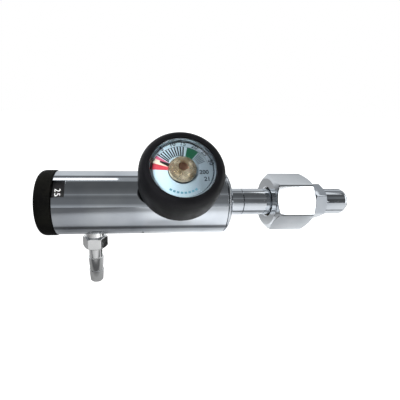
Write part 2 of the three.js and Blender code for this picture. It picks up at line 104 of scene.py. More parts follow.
def side_frame(x, outwards, sideways):
    """A frame at x on the barrel axis: its own X runs outwards, its own Y sideways."""
    outwards, sideways = Vector(outwards).normalized(), Vector(sideways).normalized()
    up = outwards.cross(sideways)
    turn = Matrix((outwards, sideways, up)).transposed().to_4x4()
    return Matrix.Translation((x, 0, 0)) @ turn


AXIAL = Matrix.Identity(4)
needle_joint = named_joint("gauge_needle")
GAUGE = side_frame(needle_joint["pos_m"][0], [-c for c in needle_joint["axis"]], (1, 0, 0))
outlet_low, outlet_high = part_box("outlet_barb")
OUTLET = side_frame((outlet_low.x + outlet_high.x) / 2, (0, 0, -1), (0, -1, 0))
relief_low, relief_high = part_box("relief_plug")
RELIEF = side_frame((relief_low.x + relief_high.x) / 2, (0, 1, 0), (1, 0, 0))


# ---- Mesh helpers ----------------------------------------------------------------------------------------

def rounded(profile, steps=3):
    """A closed profile of (x, r) or (x, r, fillet) points with its fillets drawn as arcs."""
    out = []
    count = len(profile)
    for i, point in enumerate(profile):
        here = Vector(point[:2])
        fillet = point[2] if len(point) > 2 else 0
        before = Vector(profile[i - 1][:2]) - here
        after = Vector(profile[(i + 1) % count][:2]) - here
        if not fillet or before.length < 1e-9 or after.length < 1e-9:
            out.append(tuple(here))
            continue
        angle = before.angle(after)
        if angle > math.pi - 0.02:
            out.append(tuple(here))
            continue
        reach = min(fillet / math.tan(angle / 2), before.length * 0.49, after.length * 0.49)
        radius = reach * math.tan(angle / 2)
        bisector = (before.normalized() + after.normalized()).normalized()
        centre = here + bisector * (radius / math.sin(angle / 2))
        start = here + before.normalized() * reach - centre
        end = here + after.normalized() * reach - centre
        turn = math.atan2(start.x * end.y - start.y * end.x, start.dot(end))
        for k in range(steps + 1):
            a = turn * k / steps
            out.append((
                centre.x + start.x * math.cos(a) - start.y * math.sin(a),
                centre.y + start.x * math.sin(a) + start.y * math.cos(a),
            ))
    return out


def spline(points, steps=5):
    """A smooth run through (x, r) points, ends included."""
    out = []
    for i in range(len(points) - 1):
        p0 = Vector(points[max(i - 1, 0)])
        p1, p2 = Vector(points[i]), Vector(points[i + 1])
        p3 = Vector(points[min(i + 2, len(points) - 1)])
        for k in range(steps):
            t = k / steps
            out.append(tuple(0.5 * (
                2 * p1 + (p2 - p0) * t + (2 * p0 - 5 * p1 + 4 * p2 - p3) * t * t
                + (3 * p1 - p0 - 3 * p2 + p3) * t ** 3
            )))
    out.append(tuple(points[-1]))
    return out


def hexagon(flats, turn=0.0, corner=0.35):
    """r(phi) of a hexagon with slightly rounded corners; turn is the direction of one flat's normal."""
    apothem = flats / 2
    ball = (apothem - corner) / math.cos(math.radians(30))

    def reach(phi):
        a = (math.degrees(phi) - turn + 30) % 60 - 30
        a = math.radians(abs(a))
        flat = apothem / math.cos(a)
        off = math.radians(30) - a
        limit = ball * math.sin(math.radians(30))
        if apothem * math.tan(a) <= limit:
            return flat
        along = ball * math.cos(off)
        across = ball * math.sin(off)
        return along + math.sqrt(max(corner * corner - across * across, 0))

    return reach


def hex_columns(turn, plain=7, dense=5, window=5.0):
    """Angles round a hexagon, closer together at its six corners."""
    angles = []
    for k in range(6):
        face = turn + 60 * k
        angles += [face - 30 + window + (60 - 2 * window) * i / plain for i in range(plain)]
        angles += [face + 30 - window + 2 * window * i / dense for i in range(dense)]
    return [math.radians(a) for a in sorted(a % 360 for a in angles)]


def finish_mesh(name, bm, matrix, smooth_angle=32):
    bmesh.ops.remove_doubles(bm, verts=bm.verts, dist=1e-7)
    bmesh.ops.dissolve_degenerate(bm, edges=bm.edges, dist=1e-8)
    bmesh.ops.recalc_face_normals(bm, faces=bm.faces)
    mesh = bpy.data.meshes.new(name)
    bm.to_mesh(mesh)
    bm.free()
    mesh.transform(matrix)
    for polygon in mesh.polygons:
        polygon.use_smooth = True
    mesh.set_sharp_from_angle(angle=math.radians(smooth_angle))
    piece = bpy.data.objects.new(name, mesh)
    bpy.context.scene.collection.objects.link(piece)
    return piece


def weighted(piece):
    """Keeps the big faces flat to the eye beside small bevels."""
    modifier = piece.modifiers.new("even", "WEIGHTED_NORMAL")
    modifier.keep_sharp = True
    modifier.weight = 60
    return piece


def revolve(name, rings, columns=96, matrix=AXIAL, closed=True):
    """A turned piece. rings is a list of (x, r), or a function of phi that gives one.

    r may be 0 on the axis.
    """
    angles = columns if isinstance(columns, list) else [2 * math.pi * i / columns for i in range(columns)]
    bm = bmesh.new()
    grid = []
    for phi in angles:
        points = rings(phi) if callable(rings) else rings
        grid.append([
            bm.verts.new((x * MM, r * MM * math.cos(phi), r * MM * math.sin(phi))) for x, r in points
        ])
    rows = len(grid[0])
    for i in range(len(grid)):
        a, b = grid[i], grid[(i + 1) % len(grid)]
        for j in range(rows if closed else rows - 1):
            k = (j + 1) % rows
            bm.faces.new((a[j], a[k], b[k], b[j]))
    return weighted(finish_mesh(name, bm, matrix))


def prism_hull(name, outline, low, high, matrix=AXIAL):
    """A prism along X over an outline of (y, z) millimetres."""
    bm = bmesh.new()
    a = [bm.verts.new((low * MM, y * MM, z * MM)) for y, z in outline]
    b = [bm.verts.new((high * MM, y * MM, z * MM)) for y, z in outline]
    bm.faces.new(a)
    bm.faces.new(b[::-1])
    for i in range(len(outline)):
        k = (i + 1) % len(outline)
        bm.faces.new((a[i], b[i], b[k], a[k]))
    return finish_mesh(name, bm, matrix)


def polar(radius, degrees):
    return radius * math.cos(math.radians(degrees)), radius * math.sin(math.radians(degrees))


def arc_outline(inner, outer, start, end, step=4):
    steps = max(1, math.ceil(abs(end - start) / step))
    there = [start + (end - start) * i / steps for i in range(steps + 1)]
    return [polar(outer, a) for a in there] + [polar(inner, a) for a in reversed(there)]


def apply_modifiers(piece):
    bpy.context.view_layer.update()
    evaluated = piece.evaluated_get(bpy.context.evaluated_depsgraph_get())
    mesh = bpy.data.meshes.new_from_object(evaluated)
    piece.modifiers.clear()
    piece.data = mesh


def subtract(piece, *tools):
    for tool in tools:
        modifier = piece.modifiers.new("cut", "BOOLEAN")
        modifier.operation = "DIFFERENCE"
        modifier.solver = "EXACT"
        modifier.object = tool
    apply_modifiers(piece)
    for tool in tools:
        bpy.data.objects.remove(tool)


def joined(name, parts):
    """Several meshes as one piece."""
    bm = bmesh.new()
    for part in parts:
        bm.from_mesh(part.data)
    mesh = bpy.data.meshes.new(name)
    bm.to_mesh(mesh)
    bm.free()
    for polygon in mesh.polygons:
        polygon.use_smooth = True
    mesh.set_sharp_from_angle(angle=math.radians(32))
    piece = bpy.data.objects.new(name, mesh)
    bpy.context.scene.collection.objects.link(piece)
    for part in parts:
        bpy.data.objects.remove(part)
    return piece


FIGURE_SHARE = 0.7  # a figure's height as a share of the font's size


def numeral(text, height, thickness, place, spacing=1.0, weight=0.0):
    """Raised figures as a mesh.

    place maps a point (x, y, depth) of the lettering, in millimetres, to the row frame.
    """
    curve = bpy.data.curves.new("figures", "FONT")
    curve.body = text
    curve.size = height / FIGURE_SHARE
    curve.align_x, curve.align_y = "CENTER", "CENTER"
    curve.resolution_u = 3
    curve.space_character = spacing
    curve.offset = weight * height
    holder = bpy.data.objects.new("figures", curve)
    bpy.context.scene.collection.objects.link(holder)
    bpy.context.view_layer.update()
    mesh = bpy.data.meshes.new_from_object(holder.evaluated_get(bpy.context.evaluated_depsgraph_get()))
    bpy.data.objects.remove(holder)
    bm = bmesh.new()
    bm.from_mesh(mesh)
    bpy.data.meshes.remove(mesh)
    bmesh.ops.remove_doubles(bm, verts=bm.verts, dist=1e-5)
    bmesh.ops.triangulate(bm, faces=bm.faces)
    low = min(v.co.y for v in bm.verts)
    high = max(v.co.y for v in bm.verts)
    left = min(v.co.x for v in bm.verts)
    right = max(v.co.x for v in bm.verts)
    shift = Vector(((left + right) / 2, (low + high) / 2, 0))
    front = list(bm.faces)
    made = bmesh.ops.extrude_face_region(bm, geom=front)
    for v in made["geom"]:
        if isinstance(v, bmesh.types.BMVert):
            v.co.z = thickness
    for v in bm.verts:
        p = v.co - shift
        v.co = place(p.x, p.y, v.co.z)
    return finish_mesh("figures", bm, Matrix.Identity(4), 20)


# ---- Material helpers ------------------------------------------------------------------------------------

class Tree:
    """Adds nodes to one node tree."""

    def __init__(self, tree):
        self.tree = tree

    def link(self, source, target):
        self.tree.links.new(source, target)

    def node(self, kind, **settings):
        made = self.tree.nodes.new(kind)
        for key, value in settings.items():
            setattr(made, key, value)
        return made

    def axes(self, vector):
        split = self.node("ShaderNodeSeparateXYZ")
        self.link(vector, split.inputs["Vector"])
        return split.outputs

    def ranged(self, value, low, high, start=0.3, end=0.7):
        ranger = self.node("ShaderNodeMapRange")
        ranger.inputs["From Min"].default_value = start
        ranger.inputs["From Max"].default_value = end
        ranger.inputs["To Min"].default_value = low
        ranger.inputs["To Max"].default_value = high
        self.link(value, ranger.inputs["Value"])
        return ranger.outputs["Result"]

    def ramp(self, value, *stops):
        ramp = self.node("ShaderNodeValToRGB")
        elements = ramp.color_ramp.elements
        while len(elements) < len(stops):
            elements.new(0.5)
        for element, (position, colour) in zip(elements, stops):
            element.position = position
            element.color = (*colour, 1) if len(colour) == 3 else colour
        self.link(value, ramp.inputs["Fac"])
        return ramp.outputs["Color"]

    def math(self, operation, a, b=None):
        made = self.node("ShaderNodeMath", operation=operation)
        for socket, value in zip(made.inputs, (a, b)):
            if value is None:
                continue
            if isinstance(value, (int, float)):
                socket.default_value = value
            else:
                self.link(value, socket)
        return made.outputs["Value"]


class Nodes(Tree):
    """Adds nodes to one new material."""

    def __init__(self, name):
        self.material = bpy.data.materials.new(name)
        self.material.use_nodes = True
        super().__init__(self.material.node_tree)
        self.shader = self.tree.nodes["Principled BSDF"]
        self.output = self.tree.nodes["Material Output"]
        self.coords = self.tree.nodes.new("ShaderNodeTexCoord").outputs["Object"]

    def stretched(self, scale):
        mapping = self.node("ShaderNodeMapping")
        mapping.inputs["Scale"].default_value = scale
        self.link(self.coords, mapping.inputs["Vector"])
        return mapping.outputs["Vector"]

    def noise(self, scale, detail=3, roughness=0.55, stretch=None):
        noise = self.node("ShaderNodeTexNoise")
        noise.inputs["Scale"].default_value = scale
        noise.inputs["Detail"].default_value = detail
        noise.inputs["Roughness"].default_value = roughness
        self.link(self.stretched(stretch) if stretch else self.coords, noise.inputs["Vector"])
        return noise.outputs["Fac"]

    def bump(self, height, distance, after=None):
        bump = self.node("ShaderNodeBump")
        bump.inputs["Distance"].default_value = distance
        self.link(height, bump.inputs["Height"])
        if after is not None:
            self.link(after, bump.inputs["Normal"])
        return bump.outputs["Normal"]

    def set(self, **values):
        for key, value in values.items():
            socket = self.shader.inputs[key.replace("_", " ")]
            if isinstance(value, (int, float, tuple)):
                socket.default_value = value
            else:
                self.link(value, socket)


def rgb(*values):
    """An sRGB colour, 0 to 255, as linear values."""
    return tuple((v / 255 / 12.92) if v <= 10 else ((v / 255 + 0.055) / 1.055) ** 2.4 for v in values)


def chrome(name, dark=(0.50, 0.53, 0.57), light=(0.60, 0.63, 0.66), streak=(12, 900, 900),
           wave=(14, 130, 130), streak_depth=1.2e-6, wave_depth=6e-6, rough=(0.03, 0.09)):
    n = Nodes(name)
    fine = n.noise(1, 3, 0.6, streak)
    broad = n.noise(1, 2, 0.5, wave)
    smudge = n.noise(60, 4, 0.6)
    scratch = n.noise(1, 2, 0.7, (260, 2400, 2400))
    tone = n.ramp(n.noise(45, 3), (0.35, dark), (0.65, light))
    rough_value = n.math("ADD", n.ranged(smudge, *rough, 0.35, 0.7), n.ranged(scratch, 0, 0.05, 0.6, 0.8))
    n.set(Base_Color=tone, Metallic=1.0, Roughness=rough_value)
    first = n.bump(broad, wave_depth)
    n.set(Normal=n.bump(fine, streak_depth, after=first))
    return n.material


def brass(name, dark, light, rough=(0.2, 0.4), depth=4e-6, scale=(500, 500, 500), metal=1.0):
    n = Nodes(name)
    tone = n.ramp(n.noise(240, 4), (0.3, dark), (0.7, light))
    grain = n.noise(1, 3, 0.6, scale)
    n.set(Base_Color=tone, Metallic=metal, Roughness=n.ranged(n.noise(300, 3), *rough))
    n.set(Normal=n.bump(grain, depth))
    return n.material


def rubber(name, dark, light, rough, grain=2600, depth=2.5e-5, specular=0.35):
    n = Nodes(name)
    dust = n.noise(90, 5, 0.65)
    n.set(
        Base_Color=n.ramp(dust, (0.35, dark), (0.72, light)),
        Roughness=n.ranged(n.noise(160, 3), *rough),
        Specular_IOR_Level=specular,
    )
    n.set(Normal=n.bump(n.noise(grain, 2), depth, after=n.bump(n.noise(120, 2), 3e-5)))
    return n.material


def plastic(name, dark, light, rough=(0.35, 0.5), grain=1800, depth=8e-6):
    n = Nodes(name)
    n.set(
        Base_Color=n.ramp(n.noise(200, 3), (0.35, dark), (0.7, light)),
        Roughness=n.ranged(n.noise(240, 3), *rough),
        Normal=n.bump(n.noise(grain, 2), depth),
    )
    return n.material


def ink(name, colour, worn=0.85):
    """Printed paint: one colour with faint unevenness, as screen printing has."""
    n = Nodes(name)
    n.set(
        Base_Color=n.ramp(n.noise(900, 3), (0.3, tuple(c * worn for c in colour)), (0.7, colour)),
        Roughness=n.ranged(n.noise(500, 2), 0.4, 0.55),
        Normal=n.bump(n.noise(3000, 2), 2e-6),
    )
    return n.material


CHROME = chrome("chrome_barrel")
CHROME_STEM = chrome("chrome_stem", streak=(20, 1500, 1500), wave=(25, 300, 300), wave_depth=3e-6)
CHROME_HEX = chrome("chrome_hex", dark=(0.62, 0.65, 0.68), light=(0.72, 0.74, 0.76), streak=(700, 700, 700),
                    wave=(90, 90, 90), streak_depth=8e-7, wave_depth=5e-6, rough=(0.05, 0.14))
CHROME_OUTLET = chrome("chrome_outlet", dark=(0.86, 0.86, 0.85), light=(0.96, 0.96, 0.95),
                       streak=(1200, 1200, 260), wave=(200, 200, 90), rough=(0.08, 0.18))
STEEL = chrome("bright_steel", dark=(0.42, 0.43, 0.44), light=(0.55, 0.56, 0.57), streak=(900, 900, 900),
               wave=(150, 150, 150), rough=(0.18, 0.34))
BRASS_TURNED = brass("turned_brass", (0.52, 0.36, 0.15), (0.70, 0.52, 0.26))
BRASS_HUB = brass("polished_brass", (0.40, 0.27, 0.15), (0.86, 0.68, 0.48), (0.2, 0.34), 5e-6,
                  (700, 700, 700), 0.8)
# painted shade: a near-black lining for the hollow of the hub's hex socket
SOCKET_PAINTED_SHADE = brass("socket_painted_shade", (0.05, 0.02, 0.01), (0.16, 0.08, 0.05), (0.5, 0.7), metal=0.4)
BRONZE = brass("sintered_bronze", (0.25, 0.14, 0.07), (0.46, 0.29, 0.15), (0.45, 0.7), 3e-5,
               (3500, 3500, 3500))
SEAL = rubber("seal_rubber", (0.008, 0.008, 0.008), (0.02, 0.02, 0.02), (0.35, 0.5), depth=4e-6)
GRIP = rubber("grip_rubber", (0.002, 0.002, 0.002), (0.005, 0.005, 0.004), (0.6, 0.78), specular=0.08)
BOOT = rubber("boot_rubber", (0.0025, 0.0025, 0.003), (0.005, 0.005, 0.006), (0.38, 0.52), grain=1800,
              depth=1e-5, specular=0.16)
BLACK_PLASTIC = plastic("black_plastic", (0.006, 0.006, 0.006), (0.014, 0.014, 0.015))
SEAT_PLASTIC = plastic("seat_plastic", (0.62, 0.58, 0.49), (0.78, 0.75, 0.68))

SLOT_LOOKS = {
    "chrome_plate": CHROME,
    "turned_brass": BRASS_TURNED,
    "polished_brass": BRASS_HUB,
    "bronze": BRONZE,
    "steel": STEEL,
    "seal_rubber": SEAL,
    "grip_rubber": GRIP,
    "boot_rubber": BOOT,
    "black_plastic": BLACK_PLASTIC,
    "seat_plastic": SEAT_PLASTIC,
}


def dress(piece, look, body, slot, *nodes):
    piece.data.materials.clear()
    piece.data.materials.append(look)
    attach(piece, body)
    if nodes:
        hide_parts(*nodes)


# ---- Barrel ----------------------------------------------------------------------------------------------

def rod(low, high, radius, columns=64, matrix=AXIAL):
    points = [(low, 0), (low, radius), (high, radius), (high, 0)]
    return revolve("cutter", points, columns, matrix, closed=False)


def skin_normals(piece, radius, tolerance=0.02):
    """Gives the turned skin of a cut barrel its exact normals, so that its gloss has no facets."""
    mesh = piece.data
    mesh.set_sharp_from_angle(angle=math.radians(30))
    normals = [corner.vector.copy() for corner in mesh.corner_normals]
    for polygon in mesh.polygons:
        centre = Vector((0, polygon.center.y, polygon.center.z))
        if centre.length < 1e-9 or abs(polygon.normal.dot(centre.normalized())) < 0.995:
            continue
        sign = 1 if polygon.normal.dot(centre) > 0 else -1
        for loop in polygon.loop_indices:
            co = mesh.vertices[mesh.loops[loop].vertex_index].co
            out = Vector((0, co.y, co.z))
            if abs(out.length / MM - radius) < tolerance:
                normals[loop] = out.normalized() * sign
    mesh.normals_split_custom_set(normals)


def body_shell():
    left, right, outer = span("body_shell")
    bore = 17.0
    edge = 0.3
    shell = revolve("body_shell", rounded([
        (left, bore, 0.2), (left, outer, edge), (right, outer, edge), (right, bore, 0.2),
    ]), 180)
    shell.modifiers.clear()
    window_low, window_high = 26.0, 57.0
    window = arc_outline(15, 21, 180 - window_high, 180 - window_low, 3)
    notch = prism_hull("cutter", window, left - 2, left + 7)
    gauge = (rod(12, 20, 5.7, matrix=GAUGE), rod(18.3, 26, 8.7, matrix=GAUGE))
    outlet = (rod(12, 20, 3.8, 48, OUTLET), rod(18.2, 24, 6.2, 48, OUTLET))
    relief = rod(12, 24, 4.6, 48, RELIEF)
    vent_turn = Matrix.Rotation(math.radians(-60), 4, "X") @ Matrix.Rotation(math.radians(90), 4, "Z")
    vent = rod(12, 24, 0.9, 24, Matrix.Translation((-0.131, 0, 0)) @ vent_turn)
    subtract(shell, notch, *gauge, *outlet, relief, vent)
    bevel = shell.modifiers.new("edges", "BEVEL")
    bevel.width = 0.22 * MM
    bevel.segments = 2
    bevel.limit_method = "ANGLE"
    bevel.angle_limit = math.radians(50)
    bevel.use_clamp_overlap = False
    apply_modifiers(shell)
    skin_normals(shell, outer)
    dress(shell, CHROME, "body", "chrome_plate", "body_shell")


def inlet_bonnet():
    left, right, _ = span("inlet_bonnet")
    edge = span("body_shell")[1]
    outer, radius, stem = 19.0, 16.7, 8.2
    points = rounded([
        (left, 4.25), (left, 7.6), (-124, 7.6, 0.3), (-124, radius, 0.3), (-104, radius), (-104, 14.5),
        (-93, 14.5), (-93, radius), (-87.5, radius), (-87.5, 15), (-85, 15), (-85, radius),
        (edge + 0.3, radius), (edge + 0.3, 18.75, 0.15), (edge + 0.75, outer, 0.5),
        (edge + 1.35, 18.75, 1.2), (edge + 2.5, 17.35, 2.0), (edge + 3.5, 15.4, 2.5),
        (edge + 4.05, 12.8, 0.8), (edge + 4.05, stem, 0.35), (right, stem, 0.22), (right, 5.5), (-80.5, 5.5),
        (-80.5, 1.6), (-113.2, 1.6), (-113.2, 3.3), (-115.5, 3.3), (-115.5, 4.25), (-124.8, 4.25),
        (-124.8, 5.6), (-127.4, 5.6), (-127.4, 4.25),
    ], 4)
    dress(revolve("inlet_bonnet", points, 144), CHROME_STEM, "body", "chrome_plate", "inlet_bonnet")


# ---- Inlet nipple and nut --------------------------------------------------------------------------------

CHAMFER = math.tan(math.radians(30))  # the slope of a turned chamfer on a hexagon


def hex_rows(low, high, flats, phi, reach, near, far):
    """The rows of a hexagon with turned ends. near and far are the inner radii of its two end faces."""
    end = flats / 2 - flats * 0.027
    r = reach(phi)
    into = (r - end) * CHAMFER
    rows = [(low, near), (low, end - 0.25), (low + 0.04, end - 0.07)]
    rows += [(low + into - 0.16, r - 0.16 / CHAMFER), (low + into + 0.03, r - 0.07), (low + into + 0.28, r)]
    rows += [(high - into - 0.28, r), (high - into - 0.03, r - 0.07)]
    rows += [(high - into + 0.16, r - 0.16 / CHAMFER)]
    return rows + [(high - 0.04, end - 0.07), (high, end - 0.25), (high, far)]


def inlet_nipple():
    left = span("inlet_nipple")[0]
    turn, flats, radius, stem = 176.4, 19.5, 8.0, 8.2
    joint_x = -67.7
    reach = hexagon(flats, turn, 0.3)
    before = rounded([
        (left, 2), (left, 5.2, 0.2), (joint_x, 5.2), (joint_x, stem, 0.22), (-26.6, stem, 0.25),
        (-26.6, 9.6), (-26.3, 9.9), (-26.0, 9.9),
    ], 3)
    after = rounded([
        (-16.0, radius, 0.25), (-3.2, radius, 1.2), (-1.55, 7.1, 0.9), (-1.5, 6.5, 0.1), (-2.2, 6.5),
        (-2.2, 4.1), (-0.9, 4.1, 0.15), (-0.9, 3.4, 0.15), (-9, 3.4), (-9, 2), (left, 2), (left, 5), (-60, 8),
    ], 4)[:-3]

    def rows(phi):
        return before + hex_rows(-24.4, -16.0, flats, phi, reach, near=9.0, far=8.3) + after

    nipple = revolve("inlet_nipple", rows, hex_columns(turn, 9, 6))
    dress(nipple, CHROME_STEM, "body", "chrome_plate", "inlet_nipple")


def thread_depth(x, phi, start, end, pitch=1.814, depth=1.05):
    """How far a helical groove is cut at (x, phi), fading out over a turn at each end."""
    u = (x / pitch - phi / (2 * math.pi)) % 1
    shape = min(1.0, max(0.0, (abs(2 * u - 1) - 0.12) / 0.76))
    fade = min(1.0, max(0.0, (x - start) / pitch), max(0.0, (end - x) / pitch))
    return depth * shape * fade


def inlet_nut():
    left, right, _ = span("inlet_nut")
    axis = mount("nut_flat")["axis"]
    turn = math.degrees(math.atan2(axis[2], axis[1]))
    flats, hole, minor, lip = 31.0, 8.9, 12.05, 4.0
    reach = hexagon(flats, turn, 0.5)
    inner = left + lip
    thread_start, thread_end = inner + 2.5, right - 1.2
    steps = round((thread_end - thread_start) / 0.22)

    def rows(phi):
        shell = [(left + 0.6, hole), (left + 0.08, hole + 0.5), (left, hole + 0.75)]
        shell += hex_rows(left, right, flats, phi, reach, near=hole + 1.5, far=minor + 1.4)
        shell += [(right - 0.05, minor + 1.25), (right - 0.3, minor + 1.1)]
        for i in range(steps + 1):
            x = thread_end + (thread_start - thread_end) * i / steps
            shell.append((x, minor + thread_depth(x, phi, thread_start, thread_end)))
        shell += [(inner + 1.6, minor + 0.9), (inner, minor + 0.9), (inner, hole)]
        return shell

    nut = revolve("inlet_nut", rows, hex_columns(turn, 14, 6))
    dress(nut, CHROME_HEX, "nut", "chrome_plate", "inlet_nut")


def inlet_small_parts():
    left, right, _ = span("thrust_washer")
    washer = rounded([(left, 8.5, 0.12), (left, 11.4, 0.2), (right, 11.4, 0.2), (right, 8.5, 0.12)])
    dress(revolve("thrust_washer", washer, 72), BRASS_TURNED, "washer", "turned_brass", "thrust_washer")
    low, high, _ = span("nose_o_ring")
    section, centre = (high - low) / 2, (high + low) / 2
    ring = [(centre + section * math.cos(a), 5.3 + section * math.sin(a))
            for a in (2 * math.pi * i / 16 for i in range(16))]
    dress(revolve("nose_o_ring", ring, 72), SEAL, "body", "seal_rubber", "nose_o_ring")
    low, high, _ = span("inlet_filter")
    edge = [(low, 0), (low, 3.1), (high - 0.7, 3.1, 0.2), (high, 2.1, 0.3), (high, 0)]
    disc = [(low, 0)] + rounded(edge, 3)[1:-1] + [(high, 0)]
    dress(revolve("inlet_filter", disc, 48, closed=False), BRONZE, "body", "bronze", "inlet_filter")


# ---- Flow knob -------------------------------------------------------------------------------------------

def knob():
    left, right, outer = span("knob_grip")
    nose = spline([
        (left, 15.9), (left + 0.3, 17.1), (left + 1.1, 18.25), (left + 2.3, 19.1), (left + 3.8, outer),
    ])
    rest = rounded([
        (left + 5, outer), (right, outer, 0.45), (right, 16.3, 0.15), (left + 2.1, 16.3),
        (left + 2.1, 14.5, 0.1), (left, 14.5, 0.2), (left, 15.5),
    ], 5)
    grip = nose + rest
    dress(revolve("knob_grip", grip, 144), GRIP, "selector", "grip_rubber", "knob_grip")
    low, high, radius = span("knob_end_cap")
    cap = [(high, 0), (high, radius)] + rounded([
        (high, 0), (high, radius), (low, radius, 0.3), (low, 11.6, 0.2), (low + 0.5, 11.2, 0.2),
        (low + 0.5, 10.4, 0.2), (low, 10, 0.2), (low, 4.2, 0.3), (low + 0.7, 3.4, 0.3), (low + 0.7, 0),
    ], 3)[2:]
    end_cap = revolve("knob_end_cap", cap, 96, closed=False)
    dress(end_cap, BLACK_PLASTIC, "selector", "black_plastic", "knob_end_cap")


def number_ring():
    low, high, radius = span("number_ring")
    ring = rounded([(low, 15.5), (low, radius, 0.15), (high, radius, 0.15), (high, 15.5)])
    dress(revolve("number_ring", ring, 144), BLACK_PLASTIC, "selector", "black_plastic", "number_ring")
    middle = 143.0
    centre = low + 2.65
    values = ("25", "15", "10", "8", "6", "5", "4", "3", "2", "1", "0.5", "0")
    figures = []
    for k, value in enumerate(values):
        at = math.radians(middle - 30 * k)

        def place(x, y, depth, at=at):
            r = (radius - 0.02 + depth) * MM
            a = at + x / radius
            return Vector(((centre + y) * MM, r * math.cos(a), r * math.sin(a)))

        figures.append(numeral(value, 3.2, 0.07, place, 1.15, -0.012))
    dress(joined("flow_figures", figures), INK_WHITE, "selector", "black_plastic")


# ---- Hose outlet -----------------------------------------------------------------------------------------

def outlet_barb():
    low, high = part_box("outlet_barb")
    tip, base = -low.z / MM, -high.z / MM
    flats, bore = 13.5, 1.7
    reach = hexagon(flats, 0, 0.3)
    before = rounded([
        (base, bore), (base, 3.1), (19.5, 3.1), (19.5, 5.1), (18.5, 5.1), (18.5, 5.5, 0.1), (21.4, 5.5, 0.3),
        (21.4, 6.1),
    ])[:-1]
    after = rounded([
        (28.9, 4.15, 0.3), (35.75, 4.15, 0.15), (35.95, 4.85, 0.1), (44.6, 4.25, 0.12), (44.85, 4.65, 0.1),
        (52.0, 4.06, 0.3), (tip, 3.65, 0.1), (tip, bore, 0.15), (base, bore), (base, 3), (28.9, 6),
    ])[:-3]

    def rows(phi):
        return before + hex_rows(21.4, 28.9, flats, phi, reach, near=5.75, far=4.7) + after

    barb = revolve("outlet_barb", rows, hex_columns(0, 8, 5), OUTLET)
    dress(barb, CHROME_OUTLET, "body", "chrome_plate", "outlet_barb")


# ---- Gauge -----------------------------------------------------------------------------------------------

def gauge_housing():
    boot = spline([(24.9, 18.5), (25.3, 20.2), (26.3, 21.3), (28.2, 21.9)])
    boot += spline([(37.6, 21.9), (40.2, 21.75), (42.4, 21.25), (44.4, 20.15), (45.45, 18.85), (45.7, 17.5),
                    (45.45, 16.6)])
    boot += [(45.2, 16.45), (44.9, 16.45), (44.9, 18.6), (44.3, 19.2), (25.7, 19.2), (25.7, 9.2), (24.9, 9.2)]
    dress(revolve("gauge_boot", boot, 144, GAUGE), BOOT, "body", "boot_rubber", "gauge_boot")
    ring = rounded([(43.8, 16.2, 0.15), (44.5, 16.2, 0.25), (44.5, 18.6), (43.8, 18.6)])
    dress(revolve("gauge_bezel", ring, 144, GAUGE), CHROME_STEM, "body", "chrome_plate", "gauge_bezel")
    case = rounded([
        (26, 4.3), (26, 18.9, 1), (43.5, 18.9, 0.1), (43.5, 18.3, 0.1), (27.2, 18.3, 0.5), (27.2, 4.3),
    ])
    dress(revolve("gauge_case", case, 96, GAUGE), STEEL, "body", "steel", "gauge_case")
    reach = hexagon(14, 0, 0.3)
    before = [(33, 0), (33, 1), (8.4, 1), (8.4, 5), (19.8, 5)]
    after = rounded([
        (24.6, 4, 0.2), (27.5, 4, 0.2), (27.5, 6, 0.1), (29.5, 6, 0.1), (29.5, 4.5), (39.4, 4.5, 0.2),
        (39.4, 1.3, 0.1), (34.5, 1.3), (34.5, 0), (24.6, 0),
    ])[:-2]

    def rows(phi):
        return before + hex_rows(19.8, 24.6, 14, phi, reach, near=5.4, far=4.6) + after + [(34.5, 0)]

    dress(revolve("gauge_socket", rows, hex_columns(0, 8, 5), GAUGE, closed=False), BRASS_TURNED, "body",
          "turned_brass", "gauge_socket")
    dome = spline([(47.1, 0), (46.9, 5), (46.3, 10), (45.3, 14), (44.5, 15.7), (43.5, 16.0)], 6)
    under = spline([(42.9, 15.4), (43.9, 14.9), (44.9, 12.6), (45.6, 9), (46.05, 4.5), (46.2, 0)], 6)
    lens = dome + [(43.4, 16.2), (43.4, 17.9), (42.7, 17.9), (42.7, 15.6)] + under
    dress(revolve("gauge_lens", lens, 96, GAUGE, closed=False), LENS, "body", "clear_lens", "gauge_lens")


DIAL_FACE = 40.3  # from the barrel's axis to the dial's print, in millimetres


def on_dial(depth_base, cy=0.0, cz=0.0, turn=0.0):
    """Maps lettering to the dial's plane, centred on (cy, cz) and turned by some degrees."""
    c, s = math.cos(math.radians(turn)), math.sin(math.radians(turn))

    def place(x, y, depth):
        return GAUGE @ Vector((
            (depth_base + depth) * MM, (cy + x * c - y * s) * MM, (cz + x * s + y * c) * MM,
        ))

    return place


